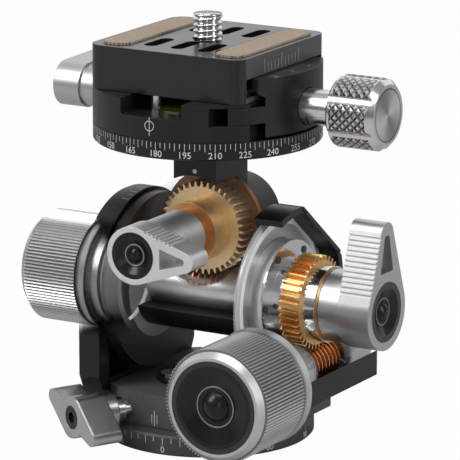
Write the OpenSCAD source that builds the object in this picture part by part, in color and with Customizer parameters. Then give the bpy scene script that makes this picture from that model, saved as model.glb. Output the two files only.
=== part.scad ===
// Geared tripod head: a pan base, a two-arm yoke, two worm-geared tilt stages set
// at right angles, a panning quick-release clamp and a camera plate.
// The origin is the centre of the base underside. The front is -Y, the side of
// the forward tilt knob and the roll lever; the clamp knob and the tilt lever
// are on +X.

/* [Base and pan] */
// Radius of the base disc
base_radius = 23.3; // [18:0.1:30]
// Height of the base disc
base_height = 4.4; // [3:0.1:7]
// Bevel round the base disc
base_bevel = 0.45; // [0.2:0.05:1]
// Radius of the tripod thread hole, 3/8 inch
tripod_hole_radius = 4.76; // [3:0.01:6]
// Depth of the tripod thread hole from the underside
tripod_hole_depth = 7.6; // [5:0.1:9]
// Radius of the pan spindle
spindle_radius = 8.6; // [7:0.1:11]
// Radius of the retaining ring on the spindle
retainer_radius = 10.6; // [9:0.1:13]
// Height of the retaining ring
retainer_height = 1.6; // [1:0.1:3]
// Gap between turning faces
face_gap = 0.1; // [0.05:0.01:0.3]
// Radial gap of the running fits
fit_gap = 0.06; // [0.02:0.01:0.1]

/* [Yoke] */
// Height of the foot top above the ground
foot_top = 11.7; // [9:0.1:15]
// Reach of the foot to the front and the back
foot_reach = 19; // [16:0.1:24]
// Half width of the foot front edge
foot_front_half = 8.9; // [6:0.1:12]
// Reach of the foot to the right
foot_right = 22.5; // [19:0.1:26]
// Direction of the facet that carries the pan lock, from +X
lock_direction = 242; // [230:1:255]
// Height of the pan lock axis
lock_height = 7.6; // [6:0.1:9]
// Rim of the round arm heads over the tilt disc
arm_rim = 0.8; // [0.4:0.1:1.6]
// Thickness of the left arm
left_arm_thickness = 4.2; // [3:0.1:6]
// Thickness of the left arm cover
cover_thickness = 1.2; // [0.8:0.1:2]
// Inner face of the right arm
right_arm_inner = 17.2; // [15:0.1:20]
// Thickness of the right arm
right_arm_thickness = 5.4; // [4:0.1:7]
// Gap between the foot top and the tilt disc
disc_clearance = 1.1; // [0.6:0.1:3]
// Radius of the foot cover
foot_cover_radius = 11.4; // [9:0.1:14]
// Height of the foot cover
foot_cover_height = 0.6; // [0.3:0.05:1.2]

/* [Worm gears] */
// Number of teeth of each worm wheel
wheel_teeth = 40; // [30:1:60]
// Pitch radius of the worm wheels
wheel_pitch_radius = 9.8; // [8:0.1:12]
// Pitch radius of the worms
worm_pitch_radius = 3.8; // [3:0.1:5]
// Height of the teeth above the pitch circle
tooth_rise = 0.5; // [0.3:0.05:0.8]
// Depth of the teeth below the pitch circle
tooth_fall = 0.6; // [0.4:0.05:0.9]
// Width of the worm wheels
wheel_width = 4.7; // [3:0.1:6]
// Thickness of a wheel tooth at its foot
tooth_foot = 0.86; // [0.5:0.01:1]
// Thickness of a wheel tooth at its tip
tooth_tip = 0.36; // [0.2:0.01:0.6]
// Thickness of the worm thread at its foot
thread_foot = 0.8; // [0.5:0.01:1]
// Thickness of the worm thread at its crest
thread_crest = 0.34; // [0.2:0.01:0.6]
// Length of the worm threads
worm_length = 13.9; // [10:0.1:18]
// Radius of the worm shafts
shaft_radius = 2.4; // [1.8:0.1:3]

/* [Side tilt stage] */
// Radius of the tilt disc beside the left arm
disc_radius = 19.4; // [16:0.1:22]
// Thickness of the tilt disc
disc_thickness = 3; // [2:0.1:6]
// Radius of the left trunnion
trunnion_radius = 11; // [9:0.1:13]
// Step from the tilt disc in to the right bearing drum
drum_inset = 6.6; // [5.5:0.1:8]
// Outer radius of the cradle under the worm tube
cradle_radius = 10; // [8:0.1:12]
// Gap between a worm and its tube
tube_gap = 0.25; // [0.1:0.05:0.6]
// Wall of the side worm's tube
tube_wall = 0.75; // [0.4:0.05:1.2]
// Radius of the roll axle
axle_radius = 3; // [2.4:0.1:4]
// Gap between the side wheel and its housing
housing_gap = 0.5; // [0.3:0.05:1.5]
// Round wall of the gear housing
housing_shell = 1; // [0.6:0.1:1.6]
// Radius of the rear bearing barrel
rear_barrel_radius = 9.3; // [7:0.1:11]
// Back end of the rear bearing barrel
rear_barrel_end = 15.6; // [12:0.1:19]

/* [Knobs and levers] */
// Radius of the tilt knobs over the knurl
knob_radius = 12.4; // [10:0.1:15]
// Length of the front knob's knurled grip
front_grip = 15.4; // [12:0.1:20]
// Length of the side knob's knurled grip
side_grip = 13; // [10:0.1:18]
// Number of knurl ridges round a tilt knob
knob_ridges = 100; // [48:1:120]
// Depth of the knurl
knurl_depth = 0.45; // [0.2:0.05:0.8]
// Gap between the front knob and its bearing
front_knob_gap = 1.1; // [0.3:0.1:3]
// Face of the roll lever, ahead of the middle
roll_lever_face = 31.4; // [28:0.1:38]
// Hub radius of the roll lever
roll_lever_radius = 6.3; // [5:0.1:8]
// Reach of the roll lever
roll_lever_reach = 14.8; // [12:0.1:18]
// Thickness of the tilt lever's arm
tilt_lever_depth = 7.6; // [5:0.1:10]
// Hub radius of the tilt lever
tilt_lever_radius = 8.4; // [7:0.1:10]
// Reach of the tilt lever
tilt_lever_reach = 19.7; // [16:0.1:24]
// Length of the pan lock wing's hub
wing_hub_length = 9.6; // [8:0.1:14]
// Half length of the pan lock wing
wing_half = 10.2; // [8:0.1:13]
// Tilt of the wing from level
wing_tilt = 29; // [0:1:50]

/* [Clamp] */
// Wall of the round clamp outside the dovetail
clamp_wall = 5.9; // [5:0.1:9]
// Height of the scale ring over the side tilt axis
neck_rise = 19.9; // [17:0.1:26]
// Height of the scale ring
ring_height = 3.9; // [3:0.1:6]
// Height of the clamp under its seat
clamp_height = 8; // [7:0.1:12]
// Opening of the jaw as it stands
jaw_opening = 2.1; // [0:0.1:3]
// Radius of the clamp knob
clamp_knob_radius = 7.8; // [6:0.1:10]
// Inner end of the clamp knob
clamp_knob_start = 33; // [29:0.1:38]
// Outer face of the clamp knob
clamp_knob_end = 44.1; // [40:0.1:52]
// Number of flutes round the clamp knob
clamp_knob_flutes = 6; // [4:1:12]
// Reach of the pan clamp lever
clamp_lever_reach = 13.4; // [10:0.1:18]

/* [Camera plate] */
// Width of the camera plate across the jaws
plate_width = 38; // [36:0.1:50]
// Length of the camera plate along the jaws
plate_length = 37.4; // [34:0.1:60]
// Height of the camera plate
plate_height = 9.6; // [8:0.1:14]
// Thickness of the plate slab over the dovetail
slab_height = 4.5; // [3:0.1:6]
// Corner radius of the plate
plate_corner = 3.2; // [1:0.1:6]
// Thickness of the end lips
lip_thickness = 2.6; // [1.5:0.1:4]
// Radius of the camera screw, 1/4 inch
camera_screw_radius = 3.175; // [2:0.005:5]
// Height of the camera screw above the plate
camera_screw_rise = 5.4; // [4:0.1:7]

/* [Hidden] */
// Heights that follow from the sizes above.
foot_bottom = base_height + face_gap;
tilt_height = foot_top + disc_clearance + disc_radius;
arm_radius = disc_radius + arm_rim;
drum_radius = disc_radius - drum_inset;
roll_height = tilt_height + wheel_pitch_radius + worm_pitch_radius;
front_worm_height = tilt_height - wheel_pitch_radius - worm_pitch_radius;
ring_bottom = roll_height + neck_rise;
ring_top = ring_bottom + ring_height;
clamp_bottom = ring_top + face_gap;
seat_height = clamp_bottom + clamp_height;
plate_bottom = seat_height + face_gap;
plate_top = plate_bottom + plate_height;
slab_bottom = plate_top - slab_height;
// Radii that follow from the wheels, the worms and the plate.
housing_bore = wheel_pitch_radius + tooth_rise + housing_gap;
housing_radius = housing_bore + housing_shell;
tube_bore = worm_pitch_radius + tooth_rise + tube_gap;
tube_radius = tube_bore + tube_wall;
clamp_radius = plate_width / 2 + clamp_wall;
// Ends that follow along X.
disc_side_gap = 0.7;
drum_step = 1.8;
wheel_side_gap = 0.6;
left_arm_inner = housing_radius + disc_side_gap + disc_thickness + face_gap;
left_arm_outer = left_arm_inner + left_arm_thickness;
cover_outer = left_arm_outer + cover_thickness;
right_arm_outer = right_arm_inner + right_arm_thickness;
disc_inner = left_arm_inner - face_gap - disc_thickness;
drum_end = right_arm_outer - drum_step;
// Gear sizes that follow.
wheel_root = wheel_pitch_radius - tooth_fall;
wheel_tip = wheel_pitch_radius + tooth_rise;
worm_root = worm_pitch_radius - tooth_fall;
worm_tip = worm_pitch_radius + tooth_rise;
thread_lead = PI * 2 * wheel_pitch_radius / wheel_teeth;
lead_angle = atan(thread_lead / (PI * 2 * worm_pitch_radius));
// Side wheel stands on the roll axis, forward wheel on the tilt axis.
side_wheel_front = -2.6;
side_wheel_back = side_wheel_front + wheel_width;
tilt_wheel_left = right_arm_outer + wheel_side_gap;
tilt_wheel_right = tilt_wheel_left + wheel_width;
front_worm_x = tilt_wheel_left + wheel_width / 2;
// Overlap that joins two solids of one piece.
join = 0.2;
// Cutter that runs past any face it opens.
past = 1;
// A cutter larger than the whole head.
far = 120;
ring_steps = 18;
spindle_step = 2.7;
retainer_bottom = foot_bottom + spindle_step;
spindle_top = retainer_bottom + retainer_height;

// A round bar along X, from one end to the other.
module bar_x(start, end, radius) {
    translate([start, 0, 0])
        rotate([0, 90, 0])
            cylinder(h = end - start, r = radius);
}

// A round bar along Y, from one end to the other.
module bar_y(start, end, radius) {
    translate([0, start, 0])
        rotate([-90, 0, 0])
            cylinder(h = end - start, r = radius);
}

// A round bar along Z.
module bar_z(start, end, radius) {
    translate([0, 0, start])
        cylinder(h = end - start, r = radius);
}

// A block between three pairs of faces.
module block(x, y, z) {
    translate([x[0], y[0], z[0]])
        cube([x[1] - x[0], y[1] - y[0], z[1] - z[0]]);
}

// A flat outline in Y and Z, drawn out along X.
module slab_x(start, end) {
    translate([start, 0, 0])
        rotate([90, 0, 90])
            linear_extrude(end - start)
                children();
}

// A flat outline in X and Z, drawn out along Y.
module slab_y(start, end) {
    translate([0, end, 0])
        rotate([90, 0, 0])
            linear_extrude(end - start)
                children();
}

module at_tilt() {
    translate([0, 0, tilt_height])
        children();
}

module at_roll() {
    translate([0, 0, roll_height])
        children();
}

module at_front_worm() {
    translate([front_worm_x, 0, front_worm_height])
        children();
}

// Teardrop outline: a round hub, a small round tip and their two flanks.
flank_sink = 0.01;
module teardrop(hub, tip, reach) {
    span = reach - tip;
    lean = acos((hub - tip) / span);
    near = hub - flank_sink;
    away = tip - flank_sink;
    circle(r = hub);
    translate([span, 0])
        circle(r = tip);
    polygon([
        [near * cos(lean), near * sin(lean)],
        [span + away * cos(lean), away * sin(lean)],
        [span + away * cos(lean), -away * sin(lean)],
        [near * cos(lean), -near * sin(lean)]]);
}

// Straight knurl: ridges round a circle.
function knurl_points(radius, depth, count) = [
    for (i = [0 : 2 * count - 1])
        let (a = 180 * i / count, r = radius - depth * (i % 2))
        [r * cos(a), r * sin(a)]];

// One worm wheel on the Z axis, its teeth leaning with the thread.
module worm_wheel(width, bore) {
    embed = wheel_root - join;
    difference() {
        union() {
            cylinder(h = width, r = wheel_root, center = true);
            for (i = [0 : wheel_teeth - 1])
                rotate([0, 0, 360 * i / wheel_teeth])
                    rotate([-lead_angle, 0, 0])
                        translate([0, 0, -(width - join) / 2])
                            linear_extrude(width - join)
                                polygon([[embed, -tooth_foot / 2], [wheel_tip, -tooth_tip / 2],
                                    [wheel_tip, tooth_tip / 2], [embed, tooth_foot / 2]]);
        }
        cylinder(h = width + past, r = bore, center = true);
    }
}

// Helical thread on the Z axis: a row of four-cornered rings.
module worm_thread() {
    turns = floor((worm_length - thread_foot) / thread_lead);
    rings = turns * ring_steps;
    foot = worm_root - join;
    points = [for (i = [0 : rings])
        let (a = 360 * i / ring_steps, z = thread_lead * (i / ring_steps - turns / 2))
        for (p = [[foot, -thread_foot / 2], [worm_tip, -thread_crest / 2],
            [worm_tip, thread_crest / 2], [foot, thread_foot / 2]])
        [p[0] * cos(a), p[0] * sin(a), z + p[1]]];
    sides = [for (i = [0 : rings - 1], k = [0 : 3])
        let (a = 4 * i + k, b = 4 * i + (k + 1) % 4)
        each [[a, b, a + 4], [b, b + 4, a + 4]]];
    last = 4 * rings;
    ends = [[0, 2, 1], [0, 3, 2], [last, last + 1, last + 2], [last, last + 2, last + 3]];
    polyhedron(points = points, faces = concat(sides, ends));
}

// Dished black cap: flat rim, cone and dome, facing +Z with its rim at zero.
cap_flat_share = 0.8;
cap_ring_share = 0.42;
cap_dome_share = 0.38;
cap_dish = 1.1;
cap_depth = 2;
ring_width = 0.28;
ring_rise = 0.2;
module dished_cap(radius) {
    floor_radius = radius * cap_ring_share + ring_width;
    rotate_extrude()
        polygon([[0, -cap_depth], [radius, -cap_depth], [radius, 0],
            [radius * cap_flat_share, 0], [floor_radius, -cap_dish], [0, -cap_dish]]);
    difference() {
        translate([0, 0, -cap_dish - radius * cap_dome_share / 2])
            sphere(r = radius * cap_dome_share);
        translate([0, 0, -cap_dish - join - far / 2])
            cube(far, center = true);
    }
}

// Thin bright ring round the dome.
module cap_ring(radius) {
    rotate_extrude()
        translate([radius * cap_ring_share, -cap_dish])
            square([ring_width, ring_rise]);
}

module base_plate() {
    color([0.13, 0.13, 0.14])
        difference() {
            rotate_extrude()
                polygon([[0, 0], [base_radius - base_bevel, 0], [base_radius, base_bevel],
                    [base_radius, base_height - base_bevel], [base_radius - base_bevel, base_height],
                    [0, base_height]]);
            bar_z(-past, base_height + past, spindle_radius);
        }
}
module pan_spindle() {
    color([0.62, 0.62, 0.64])
        difference() {
            bar_z(0, spindle_top, spindle_radius);
            bar_z(-past, tripod_hole_depth, tripod_hole_radius);
        }
}
module pan_retainer() {
    color([0.5, 0.5, 0.52])
        difference() {
            bar_z(retainer_bottom, spindle_top, retainer_radius);
            bar_z(retainer_bottom - past, spindle_top + past, spindle_radius);
        }
}

// Yoke: foot, two arms and the front worm's bed.
facet_run = (left_arm_outer - foot_front_half) / -sin(lock_direction);
foot_side = 6;
foot_back_side = 15;
foot_back = 20;
foot_back_half = 14;
foot_edge = 0.5;
lock_shaft_radius = 1.9;
lock_shaft_end = 10.9;
arm_knee_rise = 2.3;
arm_knee = foot_top + arm_knee_rise;
arm_toe = 15.4;
pocket_front = 16;
pocket_back = 7.6;
pocket_rise = 1.3;
pocket_height = 7.6;
pocket_low = foot_top + pocket_rise;
pocket_depth = 2.6;
block_inset = 1.6;
block_left = right_arm_inner - block_inset;
block_half = 5.75;
block_right = front_worm_x + block_half;
block_front = -12;
block_drop = 1;
block_top = front_worm_height - block_drop;
tube_front = -16.1;
tube_back = 17;
front_tube_wall = 1.35;
tube_outer = tube_bore + front_tube_wall;
window_gap = 0.5;
wall_thickness = 1.2;
wall_inner = right_arm_inner - wall_thickness;
rim_width = 1.5;
rim_inner = arm_radius - rim_width;
bearing_wall = 3.1;
sight_bore = drum_radius + bearing_wall;
sight_gap = 0.1;
sight_outer = rim_inner - sight_gap;
sight_thickness = 0.8;
bearing_depth = 3.4;
bearing_end = wall_inner + bearing_depth;
arm_flat_turn = 38.4;
arm_flat_wall = 0.65;
arm_flat_height = sight_bore + arm_flat_wall;
cut_start = 112;
cut_end = 262;
bush_length = 2.6;
cover_screw_radius = 0.9;
cover_screw_rise = 0.3;
cover_screw_lift = 3.5;
cover_screw_height = foot_top + cover_screw_lift;
cover_screw_reach = 15.5;

module foot_outline() {
    polygon([[-foot_front_half, -foot_reach], [foot_front_half, -foot_reach],
        [foot_right, -foot_side], [foot_right, foot_back_side], [foot_back_half, foot_back],
        [-foot_back_half, foot_back], [-left_arm_outer, foot_back_side],
        [-left_arm_outer, -foot_reach - facet_run * cos(lock_direction)]]);
}
module foot() {
    color([0.14, 0.14, 0.15])
        difference() {
            translate([0, 0, foot_bottom])
                linear_extrude(foot_top - foot_bottom)
                    foot_outline();
            bar_z(foot_bottom - past, foot_top, spindle_radius + fit_gap);
            bar_z(retainer_bottom - face_gap, foot_top + past, retainer_radius + fit_gap);
            translate([0, 0, lock_height])
                rotate([0, 0, lock_direction])
                    bar_x(retainer_radius - join, far, lock_shaft_radius + fit_gap);
            block([-left_arm_outer - past, -left_arm_inner], [-far, far], [-past, far]);
        }
}
level_x = -6.6;
level_y = -4.4;
level_radius = 2.6;
level_rise = 0.5;
module foot_cover() {
    color([0.1, 0.1, 0.11])
        difference() {
            bar_z(foot_top, foot_top + foot_cover_height, foot_cover_radius);
            translate([level_x, level_y, 0])
                bar_z(foot_top - past, far, level_radius);
        }
}
module foot_level() {
    color([0.75, 0.78, 0.8])
        translate([level_x, level_y, 0])
            bar_z(foot_top, foot_top + foot_cover_height + level_rise, level_radius);
}
module arm_outline(radius) {
    translate([0, tilt_height])
        circle(r = radius);
    polygon([[-radius, tilt_height], [-radius, arm_knee], [-arm_toe, foot_bottom],
        [arm_toe, foot_bottom], [radius, arm_knee], [radius, tilt_height]]);
}
module left_arm() {
    color([0.15, 0.15, 0.16])
        difference() {
            slab_x(-left_arm_outer, -left_arm_inner)
                arm_outline(arm_radius);
            at_tilt()
                bar_x(-far, 0, trunnion_radius + fit_gap);
            block([-left_arm_inner - pocket_depth, 0], [-pocket_front, -pocket_back],
                [pocket_low, pocket_low + pocket_height]);
        }
}
module left_arm_cover() {
    color([0.12, 0.12, 0.13])
        difference() {
            slab_x(-cover_outer, -left_arm_outer)
                arm_outline(arm_radius - foot_edge);
            at_tilt()
                bar_x(-far, 0, trunnion_radius + fit_gap);
        }
}
module cover_screws() {
    color([0.7, 0.7, 0.72])
        for (y = [-cover_screw_reach, cover_screw_reach])
            translate([0, y, cover_screw_height])
                bar_x(-cover_outer - cover_screw_rise, -cover_outer, cover_screw_radius);
}
module right_arm() {
    color([0.1, 0.1, 0.11])
        difference() {
            union() {
                slab_x(wall_inner, right_arm_inner)
                    arm_outline(arm_radius);
                slab_x(right_arm_inner, right_arm_outer)
                    difference() {
                        arm_outline(arm_radius);
                        translate([0, tilt_height])
                            circle(r = rim_inner);
                    }
            }
            at_tilt()
                bar_x(0, far, sight_bore);
            at_tilt()
                slab_x(0, far)
                    polygon([[0, 0], [far * cos(cut_start), far * sin(cut_start)], [-far, far],
                        [-far, -far], [far * cos(cut_end), far * sin(cut_end)]]);
            block([0, far], [-far, far], [0, block_top]);
            at_front_worm()
                bar_y(-far, far, tube_outer);
            arm_flat();
        }
}
// The flat across the back shoulder of the right arm.
module arm_flat() {
    at_tilt()
        rotate([-arm_flat_turn, 0, 0])
            block([0, far], [-far, far], [arm_flat_height, far]);
}
module tilt_bearing() {
    color([0.75, 0.74, 0.72])
        at_tilt()
            difference() {
                bar_x(wall_inner, bearing_end, sight_bore);
                bar_x(0, far, drum_radius + fit_gap);
            }
}
module sight_ring() {
    color([0.7, 0.72, 0.75, 0.4])
        at_tilt()
            difference() {
                bar_x(right_arm_inner, right_arm_inner + sight_thickness, sight_outer);
                bar_x(0, far, sight_bore);
                translate([0, 0, -tilt_height])
                    arm_flat();
            }
}
module worm_block() {
    color([0.2, 0.2, 0.21])
        difference() {
            block([block_left, block_right], [block_front, foot_back], [foot_top, block_top]);
            at_front_worm()
                bar_y(-far, far, tube_outer);
            at_tilt()
                bar_x(0, bearing_end, sight_bore);
            at_tilt()
                bar_x(right_arm_inner, right_arm_inner + sight_thickness, sight_outer);
        }
}
module worm_tube_front() {
    color([0.72, 0.74, 0.77, 0.4])
        difference() {
            at_front_worm()
                difference() {
                    bar_y(tube_front, tube_back, tube_outer);
                    bar_y(tube_front + bush_length, tube_back - bush_length, tube_bore);
                    bar_y(-far, far, shaft_radius + fit_gap);
                }
            at_tilt()
                bar_x(tilt_wheel_left - window_gap, tilt_wheel_right + window_gap,
                    wheel_tip + window_gap);
            at_tilt()
                bar_x(0, drum_end + window_gap, drum_radius + window_gap);
            at_tilt()
                bar_x(0, tilt_wheel_left, wheel_tip);
        }
}
worm_bush_width = 1.5;
module worm_bush() {
    color([0.72, 0.45, 0.2])
        at_front_worm()
            difference() {
                bar_y(tube_front - worm_bush_width, tube_front, tube_outer);
                bar_y(-far, far, shaft_radius + fit_gap);
            }
}

// Pan lock: a screw through the foot and an S-shaped wing outside it.
wing_back = 25;
wing_face = wing_back + wing_hub_length;
wing_hub_radius = 4.6;
wing_thickness = 7;
wing_root = 3.4;
wing_tip = 1.7;
wing_bolt_radius = 2.6;
wing_bolt_depth = 1.6;
wing_bolt_key = 1.3;
wing_shaft_step = 2.6;
wing_offset = 1.5;
lock_step_radius = 2.9;
module at_lock() {
    translate([0, 0, lock_height])
        rotate([0, 0, lock_direction])
            children();
}
module pan_lock_screw() {
    color([0.75, 0.75, 0.77])
        at_lock() {
            bar_x(lock_shaft_end, wing_back, lock_shaft_radius);
            bar_x(wing_back - wing_shaft_step, wing_back, lock_step_radius);
        }
}
module pan_lock_wing() {
    color([0.8, 0.8, 0.82])
        at_lock()
            difference() {
                union() {
                    bar_x(wing_back, wing_face, wing_hub_radius);
                    for (turn = [180 - wing_tilt, -wing_tilt])
                        rotate([turn, 0, 0])
                            slab_x(wing_face - wing_thickness, wing_face)
                                translate([0, wing_offset])
                                    teardrop(wing_root, wing_tip, wing_half);
                }
                bar_x(wing_face - wing_bolt_depth, far, wing_bolt_radius);
            }
}
module wing_bolt() {
    color([0.05, 0.05, 0.05])
        at_lock()
            difference() {
                bar_x(wing_face - wing_bolt_depth, wing_face, wing_bolt_radius);
                translate([wing_face - wing_bolt_depth / 2, 0, 0])
                    rotate([0, 90, 0])
                        cylinder(h = wing_bolt_depth, r = wing_bolt_key, $fn = 6);
            }
}

// Tilt knob on the Z axis, its face at zero and the grip below it.
knob_rim_share = 0.86;
knob_bevel = 1.6;
knob_collar = 2.7;
knob_groove = 0.6;
knob_step = 1.9;
knurl_shoulder = 0.15;
collar_rise = 0.2;
collar_radius = knob_radius + collar_rise;
groove_depth = 1.8;
step_depth = 1.5;
hub_depth = 3;
cap_rim = 2.4;
groove_radius = knob_radius - groove_depth;
step_radius = knob_radius - step_depth;
hub_radius = knob_radius - hub_depth;
cap_radius = knob_radius - cap_rim;
module tilt_knob(grip, hub_length) {
    grip_end = -knob_bevel - grip;
    knurl_root = knob_radius - knurl_depth - knurl_shoulder;
    collar_end = grip_end - knob_collar;
    step_end = collar_end - knob_groove - knob_step;
    difference() {
        union() {
            translate([0, 0, -knob_bevel])
                cylinder(h = knob_bevel, r1 = knurl_root, r2 = knob_radius * knob_rim_share);
            translate([0, 0, grip_end])
                linear_extrude(grip)
                    polygon(knurl_points(knob_radius, knurl_depth, knob_ridges));
            translate([0, 0, collar_end])
                cylinder(h = knob_collar, r1 = collar_radius, r2 = knurl_root);
            translate([0, 0, collar_end - knob_groove])
                cylinder(h = knob_groove, r = groove_radius);
            translate([0, 0, step_end])
                cylinder(h = knob_step, r = step_radius);
            translate([0, 0, step_end - hub_length])
                cylinder(h = hub_length, r = hub_radius);
        }
        translate([0, 0, -cap_depth])
            cylinder(h = far, r = cap_radius);
        translate([0, 0, -far])
            cylinder(h = far, r = shaft_radius);
    }
}

front_hub = 0.4;
side_hub = 0.8;
knob_back = knob_bevel + knob_collar + knob_groove + knob_step;
front_knob_end = worm_bush_width - tube_front + front_knob_gap + front_hub + knob_back + front_grip;
side_knob_end = cover_outer + face_gap + side_hub + knob_back + side_grip;
shaft_overhang = 1.6;
shaft_end = tube_back + shaft_overhang;
collar_width = 1.4;
stop_collar_radius = 4;
module at_front_knob() {
    at_front_worm()
        translate([0, -front_knob_end, 0])
            rotate([90, 0, 0])
                children();
}
module front_knob() {
    color([0.78, 0.78, 0.8])
        at_front_knob()
            tilt_knob(front_grip, front_hub);
}
module front_knob_cap() {
    color([0.05, 0.05, 0.05])
        at_front_knob()
            dished_cap(cap_radius);
}
module front_knob_ring() {
    color([0.8, 0.8, 0.82])
        at_front_knob()
            cap_ring(cap_radius);
}
module front_worm() {
    color([0.72, 0.45, 0.2])
        at_front_worm() {
            bar_y(-front_knob_end + cap_depth, shaft_end, shaft_radius);
            bar_y(-worm_length / 2, worm_length / 2, worm_root);
            rotate([-90, 0, 0])
                rotate([0, 0, 90])
                    worm_thread();
        }
}
module front_collar() {
    color([0.6, 0.6, 0.62])
        at_front_worm()
            difference() {
                bar_y(tube_back + face_gap, tube_back + face_gap + collar_width, stop_collar_radius);
                bar_y(-far, far, shaft_radius);
            }
}

// Forward tilt stage: disc, cradle, drum and worm wheel turn together on X.
cradle_inset = 2.2;
cradle_right = right_arm_inner - cradle_inset;
cradle_drop = 4;
web_half = 8;
web_front = 4;
web_back = 14;
web_drop = 9.2;
web_low = tilt_height - web_drop;
axle_inset = 3.6;
axle_start = cradle_right + axle_inset;
barrel_front = 8.1;
housing_front = -8.2;
housing_back = 2;
housing_wall = 0.8;
wheel_hub_radius = 6.9;
wheel_hub_step = 0.1;
wheel_hub_front = housing_front - wheel_hub_step;
hub_radius_left = 9;
hub_radius_right = 8.3;
hub_length_right = 3.1;
hub_right_end = tilt_wheel_right + hub_length_right;
seal_width = 0.6;
seal_end = hub_right_end + seal_width;
seal_radius = 8;
axle_gap = 0.1;
drum_screw_inset = 1.6;
drum_screw_circle = drum_radius - drum_screw_inset;
drum_screw_radius = 0.8;
drum_screw_rise = 0.25;
drum_screw_count = 6;
module tilt_disc() {
    color([0.16, 0.16, 0.17])
        at_tilt()
            difference() {
                union() {
                    bar_x(-left_arm_inner + face_gap, -disc_inner, disc_radius);
                    bar_x(-cover_outer, -left_arm_inner + face_gap, trunnion_radius);
                }
                bar_x(-far, 0, shaft_radius + fit_gap);
            }
}
module cradle() {
    color([0.11, 0.11, 0.12])
        difference() {
            union() {
                intersection() {
                    at_tilt()
                        bar_x(-disc_inner, cradle_right, cradle_radius);
                    block([-far, far], [-far, far], [0, tilt_height - cradle_drop]);
                }
                block([-web_half, web_half], [web_front, barrel_front],
                    [web_low, tilt_height - cradle_drop]);
            }
            at_tilt()
                bar_x(-far, far, tube_radius);
            block([-web_half, web_half], [barrel_front, far], [web_low, tilt_height]);
        }
}
module worm_tube_side() {
    color([0.78, 0.8, 0.82, 0.5])
        difference() {
            at_tilt()
                difference() {
                    bar_x(-disc_inner, cradle_right, tube_radius);
                    bar_x(-far, far, tube_bore);
                }
            at_roll()
                bar_y(-far, far, housing_bore);
        }
}
module gear_housing() {
    color([0.8, 0.82, 0.84, 0.35])
        difference() {
            at_roll()
                difference() {
                    bar_y(housing_front, housing_back, housing_radius);
                    bar_y(housing_front + housing_wall, far, housing_bore);
                    bar_y(-far, far, wheel_hub_radius + fit_gap);
                }
            at_tilt()
                bar_x(-far, far, tube_radius);
        }
}
module roll_bearing() {
    color([0.1, 0.1, 0.11])
        difference() {
            union() {
                at_roll()
                    bar_y(barrel_front, rear_barrel_end, rear_barrel_radius);
                block([-web_half, web_half], [barrel_front, web_back], [web_low, roll_height]);
            }
            at_roll()
                bar_y(-far, far, axle_radius + fit_gap);
            at_tilt()
                bar_x(-far, far, tube_radius);
        }
}
module tilt_drum() {
    color([0.82, 0.82, 0.84])
        at_tilt()
            difference() {
                union() {
                    bar_x(cradle_right, drum_end, drum_radius);
                    bar_x(drum_end, tilt_wheel_left, hub_radius_left);
                }
                bar_x(0, axle_start - axle_gap, shaft_radius + fit_gap);
                bar_x(axle_start, far, axle_radius);
            }
}
module drum_screws() {
    color([0.3, 0.3, 0.32])
        at_tilt()
            for (i = [0 : drum_screw_count - 1])
                rotate([360 * i / drum_screw_count, 0, 0])
                    translate([0, drum_screw_circle, 0])
                        bar_x(drum_end, drum_end + drum_screw_rise, drum_screw_radius);
}
module tilt_wheel() {
    color([0.8, 0.55, 0.25])
        at_tilt()
            translate([tilt_wheel_left + wheel_width / 2, 0, 0])
                rotate([0, 90, 0])
                    worm_wheel(wheel_width, axle_radius);
}
module tilt_axle() {
    color([0.8, 0.8, 0.82])
        at_tilt() {
            bar_x(axle_start + join, tilt_lever_face - cap_depth, axle_radius);
            difference() {
                bar_x(tilt_wheel_right, hub_right_end, hub_radius_right);
                bar_x(0, tilt_wheel_right + join, axle_radius);
            }
        }
}
module tilt_seal() {
    color([0.45, 0.28, 0.15])
        at_tilt()
            difference() {
                bar_x(hub_right_end, seal_end, seal_radius);
                bar_x(0, far, axle_radius);
            }
}

// Release levers: ribbed teardrops with a window and a dished cap.
rib_width = 0.5;
rib_depth = 0.4;
roll_rib_count = 7;
roll_rib_pitch = 1.05;
roll_rib_start = 1.05;
tilt_rib_count = 12;
tilt_rib_pitch = 1.13;
tilt_rib_start = 2;
lever_arm_depth = 6.5;
lever_tip = 2.2;
lever_wall = 0.3;
roll_window_half = 2.3;
roll_window_round = 0.8;
tilt_window_half = 2.9;
tilt_window_round = 1.3;
lever_cap_radius = 5.1;
tilt_lever_tip = 2.8;
tilt_lever_neck = 7.9;
tilt_neck_length = 4.9;
tilt_lever_start = seal_end + face_gap + tilt_neck_length;
tilt_lever_face = tilt_lever_start + tilt_lever_depth;
tilt_lever_cap_radius = 6.6;
lever_back = -10.9;
lever_step = 0.45;
module lever_window(start, half, end, round) {
    corner = round - flank_sink;
    polygon([[start, -half], [end - round, -corner], [end - round, corner], [start, half]]);
    translate([end - round, 0])
        circle(r = round);
}
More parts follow.
